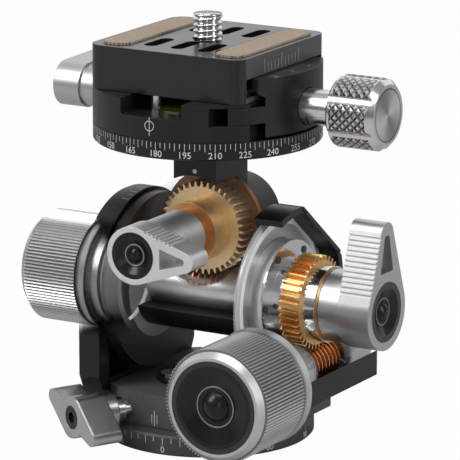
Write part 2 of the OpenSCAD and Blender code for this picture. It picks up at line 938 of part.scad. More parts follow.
// Ribs cut across the upper flank of a lever, on the outline of a teardrop.
module flank_ribs(hub, tip, reach, start, pitch, count) {
    span = reach - tip;
    lean = acos((hub - tip) / span);
    rotate([0, 0, lean - 90])
        for (i = [0 : count - 1])
            translate([start + pitch * i, hub - rib_depth])
                square([rib_width, rib_depth + join]);
}
module roll_lever() {
    color([0.82, 0.82, 0.84])
        at_roll()
            difference() {
                union() {
                    bar_y(-roll_lever_face + lever_arm_depth, lever_back,
                        roll_lever_radius - lever_step);
                    slab_y(-roll_lever_face, -roll_lever_face + lever_arm_depth)
                        difference() {
                            teardrop(roll_lever_radius, lever_tip, roll_lever_reach);
                            lever_window(roll_lever_radius + lever_wall, roll_window_half,
                                roll_lever_reach - lever_tip, roll_window_round);
                            flank_ribs(roll_lever_radius, lever_tip, roll_lever_reach,
                                roll_rib_start, roll_rib_pitch, roll_rib_count);
                        }
                }
                bar_y(-far, -roll_lever_face + cap_depth, lever_cap_radius);
                bar_y(-far, far, axle_radius + fit_gap);
            }
}
module roll_lever_cap() {
    color([0.05, 0.05, 0.05])
        at_roll()
            translate([0, -roll_lever_face, 0])
                rotate([90, 0, 0])
                    dished_cap(lever_cap_radius);
}
module roll_lever_ring() {
    color([0.8, 0.8, 0.82])
        at_roll()
            translate([0, -roll_lever_face, 0])
                rotate([90, 0, 0])
                    cap_ring(lever_cap_radius);
}
module tilt_lever() {
    color([0.82, 0.82, 0.84])
        at_tilt()
            difference() {
                union() {
                    bar_x(seal_end + face_gap, tilt_lever_start, tilt_lever_neck);
                    slab_x(tilt_lever_start, tilt_lever_face)
                        rotate([0, 0, 90])
                            difference() {
                                teardrop(tilt_lever_radius, tilt_lever_tip, tilt_lever_reach);
                                lever_window(tilt_lever_radius + lever_wall, tilt_window_half,
                                    tilt_lever_reach - tilt_lever_tip, tilt_window_round);
                                flank_ribs(tilt_lever_radius, tilt_lever_tip, tilt_lever_reach,
                                    tilt_rib_start, tilt_rib_pitch, tilt_rib_count);
                            }
                }
                bar_x(tilt_lever_face - cap_depth, far, tilt_lever_cap_radius);
                bar_x(0, far, axle_radius + fit_gap);
            }
}
module tilt_lever_cap() {
    color([0.05, 0.05, 0.05])
        at_tilt()
            translate([tilt_lever_face, 0, 0])
                rotate([0, 90, 0])
                    dished_cap(tilt_lever_cap_radius);
}
module tilt_lever_ring() {
    color([0.8, 0.8, 0.82])
        at_tilt()
            translate([tilt_lever_face, 0, 0])
                rotate([0, 90, 0])
                    cap_ring(tilt_lever_cap_radius);
}

// Side knob and worm, carried by the forward tilt stage.
shaft_end_gap = 0.4;
side_shaft_end = axle_start - shaft_end_gap;
module at_side_knob() {
    at_tilt()
        translate([-side_knob_end, 0, 0])
            rotate([0, -90, 0])
                children();
}
module side_knob() {
    color([0.78, 0.78, 0.8])
        at_side_knob()
            tilt_knob(side_grip, side_hub);
}
module side_knob_cap() {
    color([0.05, 0.05, 0.05])
        at_side_knob()
            dished_cap(cap_radius);
}
module side_knob_ring() {
    color([0.8, 0.8, 0.82])
        at_side_knob()
            cap_ring(cap_radius);
}
module side_worm() {
    color([0.72, 0.45, 0.2])
        at_tilt() {
            bar_x(-side_knob_end + cap_depth, side_shaft_end, shaft_radius);
            bar_x(-worm_length / 2, worm_length / 2, worm_root);
            rotate([0, 90, 0])
                worm_thread();
        }
}
module side_collar() {
    color([0.6, 0.6, 0.62])
        at_tilt()
            difference() {
                bar_x(-disc_inner + face_gap, -disc_inner + face_gap + collar_width,
                    stop_collar_radius);
                bar_x(-far, far, shaft_radius);
            }
}

// Side tilt stage: worm wheel, axle, disc and neck turn together on Y.
bush_radius = 5.6;
disc_back = 3.4;
roll_disc_radius = 12.2;
roll_disc_cut = 4.8;
neck_half = 5.3;
neck_front = -5.6;
neck_back = 8;
axle_cap_radius = 5;
axle_cap_width = 1.4;
neck_round = 0.5;
module side_wheel() {
    color([0.8, 0.55, 0.25])
        at_roll() {
            translate([0, side_wheel_front + wheel_width / 2, 0])
                rotate([-90, 0, 0])
                    worm_wheel(wheel_width, axle_radius);
            difference() {
                union() {
                    bar_y(wheel_hub_front, side_wheel_front, wheel_hub_radius);
                    bar_y(lever_back + face_gap, wheel_hub_front, bush_radius);
                }
                bar_y(-far, side_wheel_front + join, axle_radius);
            }
        }
}
module roll_axle() {
    color([0.7, 0.7, 0.72])
        at_roll() {
            bar_y(-roll_lever_face + cap_depth, rear_barrel_end + face_gap, axle_radius);
            bar_y(rear_barrel_end + face_gap, rear_barrel_end + face_gap + axle_cap_width,
                axle_cap_radius);
        }
}
module roll_disc() {
    color([0.35, 0.24, 0.18])
        at_roll()
            difference() {
                bar_y(side_wheel_back, disc_back, roll_disc_radius);
                bar_y(-far, far, axle_radius);
                block([-far, far], [-far, far], [-far, -roll_disc_cut]);
            }
}
module neck() {
    color([0.14, 0.14, 0.15])
        difference() {
            union() {
                block([-neck_half, neck_half], [neck_front, neck_back], [roll_height, ring_bottom]);
                at_roll()
                    bar_y(disc_back, neck_back, neck_half);
            }
            at_roll()
                bar_y(-far, disc_back, roll_disc_radius);
            at_roll()
                bar_y(-far, far, axle_radius);
        }
}
ring_bevel = 0.4;
module scale_ring() {
    color([0.12, 0.12, 0.13])
        rotate_extrude()
            polygon([[0, ring_bottom], [clamp_radius - ring_bevel, ring_bottom],
                [clamp_radius, ring_bottom + ring_bevel], [clamp_radius, ring_top],
                [0, ring_top]]);
}
pan_hub_radius = 9;
pan_hub_height = 2.4;
pan_flange_radius = 11;
pan_flange_height = 1.2;
module pan_hub() {
    color([0.6, 0.6, 0.62]) {
        bar_z(ring_top, ring_top + pan_hub_height, pan_hub_radius);
        bar_z(ring_top + pan_hub_height, ring_top + pan_hub_height + pan_flange_height,
            pan_flange_radius);
    }
}

// Clamp: body with the fixed jaw, sliding jaw, knob, level and pan lever.
jaw_top = slab_bottom - face_gap;
dovetail_half = plate_width / 2;
dovetail_draft = 2.1;
dovetail_neck = dovetail_half - dovetail_draft;
flank_lift = 1.1;
flank_height = 2;
flank_low = plate_bottom + flank_lift;
flank_high = flank_low + flank_height;
jaw_gap = 0.05;
jaw_side_gap = 0.4;
jaw_recess = dovetail_half + jaw_side_gap;
jaw_end_gap = 2.1;
jaw_half = plate_length / 2 - lip_thickness - jaw_end_gap;
tongue_drop = 0.8;
tongue_height = 3.6;
tongue_high = seat_height - tongue_drop;
tongue_low = tongue_high - tongue_height;
tongue_length = 5.4;
tongue_end = jaw_recess - tongue_length;
slot_room = 1.2;
slot_end = tongue_end - slot_room;
jaw_lift = 0.5;
jaw_base = clamp_bottom + jaw_lift;
clamp_axis_drop = 2.6;
clamp_axis = seat_height - clamp_axis_drop;
clamp_rod = 1.5;
clamp_rod_start = 9.8;
clamp_neck_radius = 3.9;
clamp_neck_inset = 0.6;
clamp_neck_start = clamp_radius - clamp_neck_inset;
seat_gap = 0.15;
level_pocket_half = 7.5;
level_wall = 0.6;
level_pocket_depth = 3.3;
level_pocket_low = seat_height - level_pocket_depth;
bubble_x = 3.1;
bubble_radius = 4.2;
bubble_inset = 6;
bubble_height = 1.2;
pin_x = -3.2;
pin_inset = 4.2;
pin_radius = 1.5;
pin_top = seat_height - face_gap;
lever_rod_radius = 1.7;
lever_rod_end = -13;
lever_rod_drop = 3.7;
lever_rod_height = seat_height - lever_rod_drop;
level_pocket_start = -pan_flange_radius - level_wall;
bubble_y = level_pocket_start - bubble_inset;
pin_y = level_pocket_start - pin_inset;
module jaw_hook(side, out) {
    polygon([[side * (jaw_recess + out), seat_height - join], [side * (far + out), seat_height - join],
        [side * (far + out), jaw_top], [side * (dovetail_neck + jaw_gap + out), jaw_top],
        [side * (dovetail_neck + jaw_gap + out), flank_high],
        [side * (jaw_recess + out), flank_low - jaw_gap]]);
}
module clamp_body() {
    color([0.13, 0.13, 0.14])
        difference() {
            union() {
                bar_z(clamp_bottom, seat_height, clamp_radius);
                intersection() {
                    bar_z(clamp_bottom, jaw_top, clamp_radius);
                    slab_y(-jaw_half, jaw_half)
                        jaw_hook(-1, 0);
                }
            }
            block([jaw_recess, far], [-far, far], [0, far]);
            block([slot_end, far], [-far, far], [tongue_low - face_gap, tongue_high + face_gap]);
            bar_z(0, far, pan_hub_radius + fit_gap);
            bar_z(ring_top + pan_hub_height - face_gap, far, pan_flange_radius + fit_gap);
            block([-level_pocket_half, level_pocket_half], [-far, level_pocket_start],
                [level_pocket_low, far]);
            translate([0, 0, clamp_axis])
                bar_x(0, far, clamp_rod + fit_gap);
            translate([0, 0, lever_rod_height])
                bar_x(-far, 0, lever_rod_radius + fit_gap);
        }
}
module clamp_level() {
    color([0.75, 0.85, 0.2])
        translate([bubble_x, bubble_y, 0])
            bar_z(level_pocket_low, level_pocket_low + bubble_height, bubble_radius);
}
module stop_pin() {
    color([0.8, 0.8, 0.82])
        translate([pin_x, pin_y, 0])
            bar_z(level_pocket_low, pin_top, pin_radius);
}
module moving_jaw() {
    color([0.13, 0.13, 0.14])
        difference() {
            intersection() {
                bar_z(jaw_base, jaw_top, clamp_radius);
                union() {
                    slab_y(-jaw_half, jaw_half)
                        jaw_hook(1, jaw_opening);
                    block([jaw_recess + jaw_opening, far], [-far, far], [jaw_base, seat_height]);
                    block([tongue_end + jaw_opening, far], [-far, far], [tongue_low, tongue_high]);
                }
            }
            translate([0, 0, clamp_axis])
                bar_x(0, far, clamp_rod + fit_gap);
            translate([0, 0, clamp_axis])
                bar_x(clamp_neck_start - seat_gap, far, clamp_neck_radius + seat_gap);
        }
}
knob_face_bevel = 1.2;
knob_back_bevel = 0.5;
flute_radius = 2.2;
flute_depth = 0.7;
face_disc_radius = 6;
face_disc_depth = 0.5;
module clamp_knob() {
    color([0.8, 0.8, 0.82])
        translate([0, 0, clamp_axis])
            difference() {
                union() {
                    bar_x(clamp_rod_start, clamp_knob_start, clamp_rod);
                    bar_x(clamp_neck_start, clamp_knob_start, clamp_neck_radius);
                    rotate([0, 90, 0])
                        rotate_extrude()
                            polygon([[0, clamp_knob_start],
                                [clamp_knob_radius - knob_back_bevel, clamp_knob_start],
                                [clamp_knob_radius, clamp_knob_start + knob_back_bevel],
                                [clamp_knob_radius, clamp_knob_end - knob_face_bevel],
                                [clamp_knob_radius - knob_face_bevel, clamp_knob_end],
                                [0, clamp_knob_end]]);
                }
                for (i = [0 : clamp_knob_flutes - 1])
                    rotate([360 * (i + 1 / 2) / clamp_knob_flutes, 0, 0])
                        translate([0, clamp_knob_radius + flute_radius - flute_depth, 0])
                            bar_x(clamp_knob_start - past, clamp_knob_end + past, flute_radius);
                bar_x(clamp_knob_end - face_disc_depth, far, face_disc_radius);
            }
}
module clamp_knob_cap() {
    color([0.85, 0.85, 0.87])
        translate([0, 0, clamp_axis])
            bar_x(clamp_knob_end - face_disc_depth, clamp_knob_end, face_disc_radius);
}
lever_neck_radius = 3.3;
lever_hub_radius = 5;
lever_hub_gap = 1.1;
lever_hub_start = -clamp_radius - lever_hub_gap;
lever_neck_length = 4;
lever_arm_start = lever_hub_start - lever_neck_length;
lever_arm_width = 6.5;
lever_hub_end = lever_arm_start - lever_arm_width;
clamp_lever_tip = 1.9;
clamp_lever_rise = 17;
module clamp_lever() {
    color([0.8, 0.8, 0.82])
        translate([0, 0, lever_rod_height]) {
            bar_x(lever_hub_start - join, lever_rod_end, lever_rod_radius);
            bar_x(lever_hub_start - join, -clamp_radius - face_gap, lever_neck_radius);
            bar_x(lever_arm_start - join, lever_hub_start, lever_hub_radius - lever_step);
            slab_x(lever_hub_end, lever_arm_start)
                rotate([0, 0, clamp_lever_rise])
                    teardrop(lever_hub_radius, clamp_lever_tip, clamp_lever_reach);
        }
}

// Camera plate with end lips, dovetail sides, slots, pads and its screw.
under_side = 7.4;
under_end = 7.1;
under_half = plate_width / 2 - under_side;
under_reach = plate_length / 2 - under_end;
slot_width = 3.2;
slot_start = 4.6;
slot_margin = 4.7;
slot_finish = plate_length / 2 - slot_margin;
slot_column = 6.6;
pad_margin = 1.6;
pad_width = 6.8;
pad_outer = plate_width / 2 - pad_margin;
pad_inner = pad_outer - pad_width;
pad_end = 2.3;
pad_reach = plate_length / 2 - pad_end;
pad_height = 0.4;
pad_round_share = 0.4;
screw_head_radius = 6.8;
screw_head_lift = 2.2;
screw_head_height = 2.2;
screw_head_low = plate_bottom + screw_head_lift;
screw_head_high = screw_head_low + screw_head_height;
screw_gap = 0.1;
under_gap = 0.2;
under_top = screw_head_high + under_gap;
screw_bevel = 0.6;
screw_neck = 0.3;
module rounded_plan(half_width, half_length, corner) {
    for (x = [-1, 1], y = [-1, 1])
        translate([x * (half_width - corner), y * (half_length - corner)])
            circle(r = corner);
    square([2 * half_width, 2 * (half_length - corner)], center = true);
    square([2 * (half_width - corner), 2 * half_length], center = true);
}
module slot(x, start, finish) {
    radius = slot_width / 2;
    translate([x, start + radius])
        circle(r = radius);
    translate([x, finish - radius])
        circle(r = radius);
    translate([x - radius, start + radius])
        square([slot_width, finish - start - slot_width]);
}
module plate() {
    lip_face = plate_length / 2 - lip_thickness;
    color([0.14, 0.14, 0.15])
        difference() {
            translate([0, 0, plate_bottom])
                linear_extrude(plate_top - plate_bottom)
                    rounded_plan(plate_width / 2, plate_length / 2, plate_corner);
            for (side = [-1, 1])
                slab_y(-lip_face, lip_face)
                    polygon([[side * dovetail_half, flank_low], [side * dovetail_neck, flank_high],
                        [side * dovetail_neck, slab_bottom], [side * far, slab_bottom],
                        [side * far, flank_low]]);
            block([-under_half, under_half], [-under_reach, under_reach], [0, under_top]);
            translate([0, 0, -past])
                linear_extrude(far) {
                    for (x = [-slot_column, 0, slot_column]) {
                        slot(x, slot_start, slot_finish);
                        slot(x, -slot_finish, -slot_start);
                    }
                    circle(r = camera_screw_radius + screw_gap);
                }
        }
}
module plate_pads() {
    color([0.6, 0.5, 0.42])
        for (side = [-1, 1])
            translate([side * (pad_inner + pad_outer) / 2, 0, plate_top])
                linear_extrude(pad_height)
                    rounded_plan((pad_outer - pad_inner) / 2, pad_reach,
                        (pad_outer - pad_inner) * pad_round_share);
}
module camera_screw() {
    top = plate_top + camera_screw_rise;
    color([0.8, 0.8, 0.82]) {
        bar_z(screw_head_low, screw_head_high, screw_head_radius);
        bar_z(screw_head_high, plate_top, camera_screw_radius - screw_neck);
        bar_z(plate_top, top - screw_bevel, camera_screw_radius);
        translate([0, 0, top - screw_bevel])
            cylinder(h = screw_bevel, r1 = camera_screw_radius, r2 = camera_screw_radius - screw_bevel);
    }
}

base_plate();
pan_spindle();
pan_retainer();
foot();
foot_cover();
foot_level();
left_arm();
left_arm_cover();
cover_screws();
right_arm();
tilt_bearing();
sight_ring();
worm_block();
worm_tube_front();
worm_bush();
pan_lock_screw();
pan_lock_wing();
wing_bolt();
front_knob();
front_knob_cap();
front_knob_ring();
front_worm();
front_collar();
tilt_disc();
cradle();
worm_tube_side();
gear_housing();
roll_bearing();
tilt_drum();
drum_screws();
tilt_wheel();
tilt_axle();
tilt_seal();
tilt_lever();
tilt_lever_cap();
tilt_lever_ring();
side_knob();
side_knob_cap();
side_knob_ring();
side_worm();
side_collar();
side_wheel();
roll_axle();
roll_disc();
neck();
scale_ring();
pan_hub();
roll_lever();
roll_lever_cap();
roll_lever_ring();
clamp_body();
clamp_level();
stop_pin();
moving_jaw();
clamp_knob();
clamp_knob_cap();
clamp_lever();
plate();
plate_pads();
camera_screw();
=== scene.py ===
import math

import bpy
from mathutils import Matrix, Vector


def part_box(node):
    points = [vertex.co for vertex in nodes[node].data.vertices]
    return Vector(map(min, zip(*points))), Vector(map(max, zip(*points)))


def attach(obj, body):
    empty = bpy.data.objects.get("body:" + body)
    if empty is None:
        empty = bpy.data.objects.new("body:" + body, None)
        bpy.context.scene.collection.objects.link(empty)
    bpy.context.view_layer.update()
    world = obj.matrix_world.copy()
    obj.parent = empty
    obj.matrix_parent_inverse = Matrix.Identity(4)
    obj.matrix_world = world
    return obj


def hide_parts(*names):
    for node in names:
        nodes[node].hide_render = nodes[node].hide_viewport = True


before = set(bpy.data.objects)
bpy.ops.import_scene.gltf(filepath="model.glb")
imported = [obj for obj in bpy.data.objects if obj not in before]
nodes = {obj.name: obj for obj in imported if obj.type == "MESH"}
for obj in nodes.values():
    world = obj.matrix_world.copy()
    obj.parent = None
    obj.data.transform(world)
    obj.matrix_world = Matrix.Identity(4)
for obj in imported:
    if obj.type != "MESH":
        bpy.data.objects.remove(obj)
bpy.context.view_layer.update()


# The view: a long lens aimed at the middle of the head, from fourteen degrees above
# level and thirty degrees round from the front, on the side of the clamp knob.
def way_out(turn, rise):
    """The way from the head, turn degrees round from its front and rise degrees above level."""
    a, e = math.radians(turn), math.radians(rise)
    return Vector((math.sin(a) * math.cos(e), -math.cos(a) * math.cos(e), math.sin(e)))


def set_up(thing, middle, way, distance):
    """Puts a camera or lamp at a distance from middle, looking back at it."""
    bpy.context.scene.collection.objects.link(thing)
    thing.location = middle + way * distance
    thing.rotation_mode = "QUATERNION"
    thing.rotation_quaternion = way.to_track_quat("Z", "Y")


view_turn, view_rise, view_distance = 30.3, 13.8, 0.88
view_side, view_height, lens_length, film_width = 0.00478, 0.04479, 316.2, 36
sideways, backwards = way_out(view_turn + 90, 0), way_out(view_turn + 180, 0)
camera = bpy.data.objects.new("view", bpy.data.cameras.new("view"))
set_up(camera, sideways * view_side + Vector((0, 0, view_height)), way_out(view_turn, view_rise),
       view_distance)
camera.data.sensor_width, camera.data.lens = film_width, lens_length
camera.data.clip_start, camera.data.clip_end = 0.05, 20
bpy.context.scene.camera = camera
bpy.context.scene.view_settings.view_transform = "Standard"


# Floor and backdrop: a sheet of white paper swept up behind the head. The camera sees
# it as plain white, and so do mirrors, but for the paper near the floor.
class Link:
    """One socket in a finish. Sums, products and comparisons of links add Math nodes."""

    def __init__(self, tree, socket):
        self.tree, self.socket = tree, socket

    def node(self, kind, settings=None, values=None, out=0):
        """A node of this kind: first its settings, then the values or links of its sockets."""
        made = self.tree.nodes.new(kind)
        for key, value in (settings or {}).items():
            if key == "stops":
                ramp = made.color_ramp
                while len(ramp.elements) < len(value):
                    ramp.elements.new(0.5)
                for element, (at, colour) in zip(ramp.elements, value):
                    element.position, element.color = at, (*colour, 1)
            else:
                setattr(made, key, value)
        for key, value in (values or {}).items():
            if isinstance(value, Link):
                self.tree.links.new(value.socket, made.inputs[key])
            else:
                made.inputs[key].default_value = value
        return Link(self.tree, made.outputs[out])

    def math(self, operation, second=0.0):
        return self.node("ShaderNodeMath", {"operation": operation}, {0: self, 1: second})

    def math_after(self, operation, first):
        return self.node("ShaderNodeMath", {"operation": operation}, {0: first, 1: self})

    def __add__(self, other): return self.math("ADD", other)
    def __radd__(self, other): return self.math_after("ADD", other)
    def __sub__(self, other): return self.math("SUBTRACT", other)
    def __rsub__(self, other): return self.math_after("SUBTRACT", other)
    def __mul__(self, other): return self.math("MULTIPLY", other)
    def __rmul__(self, other): return self.math_after("MULTIPLY", other)
    def __truediv__(self, other): return self.math("DIVIDE", other)
    def __rtruediv__(self, other): return self.math_after("DIVIDE", other)
    def __pow__(self, other): return self.math("POWER", other)
    def __gt__(self, other): return self.math("GREATER_THAN", other)
    def __lt__(self, other): return self.math("LESS_THAN", other)
    def __abs__(self): return self.math("ABSOLUTE")


MM = 0.001


def begin_finish(name):
    """A material, its shader node, and the place on the piece in millimetres."""
    material = bpy.data.materials.new(name)
    material.use_nodes = True
    shader = material.node_tree.nodes["Principled BSDF"]
    place = Link(material.node_tree, shader.outputs[0]).node("ShaderNodeTexCoord", out="Object")
    place = place.node("ShaderNodeVectorMath", {"operation": "SCALE"}, {0: place, "Scale": 1 / MM})
    return material, shader, place


def into(shader, **links):
    """Joins links to the shader's sockets, and sets plain values on them."""
    for key, value in links.items():
        socket = shader.inputs[key.replace("_", " ")]
        if isinstance(value, Link):
            value.tree.links.new(value.socket, socket)
        else:
            socket.default_value = value


def grain(place, scale, detail=3.0, rough=0.6):
    return place.node("ShaderNodeTexNoise", {}, {"Vector": place, "Scale": scale, "Detail": detail,
                                                 "Roughness": rough})


def fade(link, start, end):
    """0 before start, 1 past end, and a soft rise between them."""
    return link.node("ShaderNodeMapRange", {"interpolation_type": "SMOOTHSTEP"},
                     {"Value": link, "From Min": start, "From Max": end})


def axis_of(place, which):
    return place.node("ShaderNodeSeparateXYZ", {}, {0: place}, out="XYZ".index(which))


def blend_colours(mask, first, second):
    """The first colour where mask is 0 and the second where it is 1, each a link or (r, g, b)."""
    first, second = (one if isinstance(one, Link) else (*one, 1) for one in (first, second))
    return mask.node("ShaderNodeMix", {"data_type": "RGBA"}, {0: mask, 6: first, 7: second}, out=2)


paper_white, mirror_white, mirror_low, mirror_high = 0.975, 0.93, 40.0, 250.0


def white_paper():
    material, shader, place = begin_finish("white_paper")
    into(shader, Base_Color=blend_colours(grain(place, 0.9), (0.5, 0.5, 0.5), (0.54, 0.54, 0.54)),
         Roughness=0.85)
    direct, mirrored, passed = (place.node("ShaderNodeLightPath", out=name) for name in
                                ("Is Camera Ray", "Is Glossy Ray", "Is Transmission Ray"))
    above = fade(axis_of(place, "Z"), mirror_low, mirror_high)
    white = direct * paper_white + (mirrored + passed) * above * mirror_white
    glow = place.node("ShaderNodeEmission", {}, {"Color": (1, 1, 1, 1), "Strength": 1.0})
    lit = Link(material.node_tree, shader.outputs[0])
    mixed = place.node("ShaderNodeMixShader", {}, {0: white, 1: lit, 2: glow})
    material.node_tree.links.new(mixed.socket, material.node_tree.nodes["Material Output"].inputs["Surface"])
    return material


paper_front, paper_back, paper_bend, paper_top = -1.2, 0.9, 0.5, 2.2
paper_half, paper_drop, bend_steps = 2.4, 0.00005, 12
bend = [math.pi / 2 * k / bend_steps for k in range(bend_steps + 1)]
sweep = [(paper_front, 0.0)]
sweep += [(paper_back + paper_bend * math.sin(a), paper_bend - paper_bend * math.cos(a)) for a in bend]
sweep += [(paper_back + paper_bend, paper_top)]
sweep_points = [backwards * back + sideways * across + Vector((0, 0, high - paper_drop))
                for across in (-paper_half, paper_half) for back, high in sweep]
count = len(sweep)
floor_mesh = bpy.data.meshes.new("floor")
floor_mesh.from_pydata(sweep_points, [], [(k, k + 1, count + k + 1, count + k) for k in range(count - 1)])
floor_mesh.materials.append(white_paper())
floor = bpy.data.objects.new("floor", floor_mesh)
bpy.context.scene.collection.objects.link(floor)

# Studio: a room of soft greys that only lights the head and shows in its metal, with
# four soft boxes. The camera sees plain white past the paper.
room_light, lamp_middle = 0.62, Vector((0, 0, 0.05))
room_greys = ((0.0, (0.5, 0.5, 0.5)), (0.48, (0.13, 0.13, 0.135)), (0.56, (0.3, 0.3, 0.31)),
              (0.68, (0.62, 0.63, 0.64)), (0.86, (0.5, 0.5, 0.51)), (1.0, (0.7, 0.71, 0.72)))
world = bpy.data.worlds.new("studio")
bpy.context.scene.world = world
world.use_nodes = True
air = Link(world.node_tree, world.node_tree.nodes["Background"].outputs[0])
height = axis_of(air.node("ShaderNodeTexCoord", out="Generated"), "Z") * 0.5 + 0.5
walls = height.node("ShaderNodeValToRGB", {"stops": room_greys}, {0: height})
room = air.node("ShaderNodeBackground", {}, {"Color": walls, "Strength": room_light})
sky = air.node("ShaderNodeBackground", {}, {"Color": (1, 1, 1, 1), "Strength": 1.0})
seen = air.node("ShaderNodeMixShader", {}, {0: air.node("ShaderNodeLightPath", out="Is Camera Ray"),
                                            1: room, 2: sky})
world.node_tree.links.new(seen.socket, world.node_tree.nodes["World Output"].inputs["Surface"])


def soft_box(name, turn, rise, distance, width, height, power):
    lamp = bpy.data.lights.new(name, "AREA")
    lamp.shape, lamp.size, lamp.size_y, lamp.energy = "RECTANGLE", width, height, power
    box = bpy.data.objects.new(name, lamp)
    set_up(box, lamp_middle, way_out(turn, rise), distance)
    box.visible_camera = False


soft_box("key_light", turn=-42, rise=38, distance=0.75, width=0.3, height=0.5, power=2.7)
soft_box("fill_light", turn=88, rise=22, distance=0.8, width=0.22, height=0.6, power=1.9)
soft_box("top_light", turn=20, rise=82, distance=0.7, width=0.5, height=0.3, power=1.9)
soft_box("front_light", turn=24, rise=8, distance=1.1, width=0.12, height=0.7, power=0.7)

# Base disc: turned aluminium, bead blasted and anodised black, its edge engraved with
# the pan scale. It screws to the tripod by the steel hub in its middle.
sharp_turn = math.radians(28)


def wear(finish, *names):
    """Gives the named solids their finish, with smooth faces and sharp edges."""
    for name in names:
        mesh = nodes[name].data
        mesh.materials.clear()
        mesh.materials.append(finish)
        mesh.polygons.foreach_set("use_smooth", [True] * len(mesh.polygons))
        mesh.set_sharp_from_angle(angle=sharp_turn)


def add_mesh(name, points, faces, finish, body, smooth=True):
    """A new piece from points in millimetres, where the solids have theirs."""
    mesh = bpy.data.meshes.new(name)
    mesh.from_pydata([(x * MM, y * MM, z * MM) for x, y, z in points], [], faces)
    mesh.validate()
    mesh.polygons.foreach_set("use_smooth", [smooth] * len(mesh.polygons))
    mesh.materials.append(finish)
    piece = bpy.data.objects.new(name, mesh)
    bpy.context.scene.collection.objects.link(piece)
    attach(piece, body)
    return piece


def tint(shade, red, green, blue):
    return (shade * red, shade * green, shade * blue)


def relief(height, strength, depth, soft_edge=None):
    """A bumped surface, depth in millimetres, with its edges rounded by soft_edge."""
    values = {"Height": height, "Strength": strength, "Distance": depth * MM}
    if soft_edge:
        values["Normal"] = height.node("ShaderNodeBevel", {"samples": 4}, {"Radius": soft_edge * MM})
    return height.node("ShaderNodeBump", {}, values)


def draw_ghosted(material, shader, cover):
    """Draws a finish see-through where cover is under 1."""
    into(shader, Alpha=cover)
    material.surface_render_method = "BLENDED"


def anodised(name, shade=0.008, matt=0.34, edge=0.09, cover=None):
    """Black anodised aluminium. cover(place) is how solid it is drawn, where it is ghosted."""
    material, shader, place = begin_finish(name)
    beads, clouds = grain(place, 5.5, 4.0, 0.7), grain(place, 0.11, 2.0, 0.5)
    dyed = blend_colours(clouds, tint(shade, 0.85, 0.86, 0.9), tint(shade, 1.2, 1.21, 1.26))
    into(shader, Base_Color=dyed, Roughness=matt - 0.05 + clouds * 0.1 + beads * 0.05,
         Normal=relief(beads, 0.16, 0.02, edge), Specular_IOR_Level=0.38)
    if cover:
        draw_ghosted(material, shader, cover(place))
    return material


def enamel():
    material, shader, place = begin_finish("scale_enamel")
    into(shader, Base_Color=blend_colours(grain(place, 3.0), (0.62, 0.63, 0.63), (0.8, 0.8, 0.8)),
         Roughness=0.5)
    return material


enamel_finish, mark_lift = enamel(), 0.03


def engrave(name, body, bars, words, place):
    """Enamelled marks laid by place(u, v): bars (u, half width, v0, v1) and words (text, size, u, v)."""
    points, faces = [], []
    for u, half, v0, v1 in bars:
        first = len(points)
        points += [place(u - half, v0), place(u + half, v0), place(u + half, v1), place(u - half, v1)]
        faces.append(tuple(range(first, first + 4)))
    for text, size, u, v in words:
        letters = bpy.data.curves.new("numbers", "FONT")
        letters.body, letters.size = text, size
        letters.align_x, letters.align_y = "CENTER", "CENTER"
        letters.resolution_u = 3
        holder = bpy.data.objects.new("numbers", letters)
        bpy.context.scene.collection.objects.link(holder)
        bpy.context.view_layer.update()
        flat = bpy.data.meshes.new_from_object(holder.evaluated_get(bpy.context.evaluated_depsgraph_get()))
        first = len(points)
        points += [place(u + p.co.x, v + p.co.y) for p in flat.vertices]
        faces += [tuple(first + k for k in f.vertices) for f in flat.polygons]
        bpy.data.objects.remove(holder)
    add_mesh(name, points, faces, enamel_finish, body, smooth=False)


def upright_ring(radius, start):
    """Places marks round an upright ring; u runs to the right, v up."""
    def place(u, v):
        a = math.radians(start) + u / radius
        return (radius * math.cos(a), radius * math.sin(a), v)
    return place


ring_figure = 2.0


def ring_scale(name, body, radius, zero, step, half, lengths, rim, figure_step, figure_line):
    """Degrees round an upright ring: long and short marks in turn down from rim, and figures."""
    arc = radius * math.radians(1)
    bars = [(k * step * arc, half, rim - lengths[k % 2], rim) for k in range(round(360 / step))]
    words = [(str(turn), ring_figure, turn * arc, figure_line) for turn in range(0, 360, figure_step)]
    engrave(name, body, bars, words, upright_ring(radius + mark_lift, zero))


# The base disc's black is lighter than the other anodising: a painted highlight.
wear(anodised("black_anodised_base", shade=0.062, matt=0.38), "base_plate")
ring_scale("base_scale", "base", radius=23.3, zero=-84.5, step=5, half=0.06, lengths=(1.65, 1.1), rim=3.95,
           figure_step=30, figure_line=1.25)


# Pan hub and its retaining ring: ground steel, pressed into the base disc. The hub's
# bore shows the turns of its thread for the tripod's screw.
def cut_lines(run, scale, detail=3.0):
    """Fine lines left by a tool, which change along run alone."""
    return run.node("ShaderNodeTexNoise", {"noise_dimensions": "1D"},
                    {"W": run, "Scale": scale, "Detail": detail})


def ground_steel(name, shade=0.5):
    material, shader, place = begin_finish(name)
    lines = cut_lines(axis_of(place, "Z"), 9.0, 4.0)
    into(shader, Base_Color=blend_colours(lines, tint(shade, 0.9, 0.9, 0.92), tint(shade, 1.1, 1.1, 1.12)),
         Metallic=1.0, Roughness=0.22 + lines * 0.16, Normal=relief(lines, 0.25, 0.01, 0.06))
    return material


hub_steel = ground_steel("hub_steel")
wear(hub_steel, "pan_spindle", "pan_retainer")
thread_sides, rows_a_turn, run_out_rows = 40, 10, 5


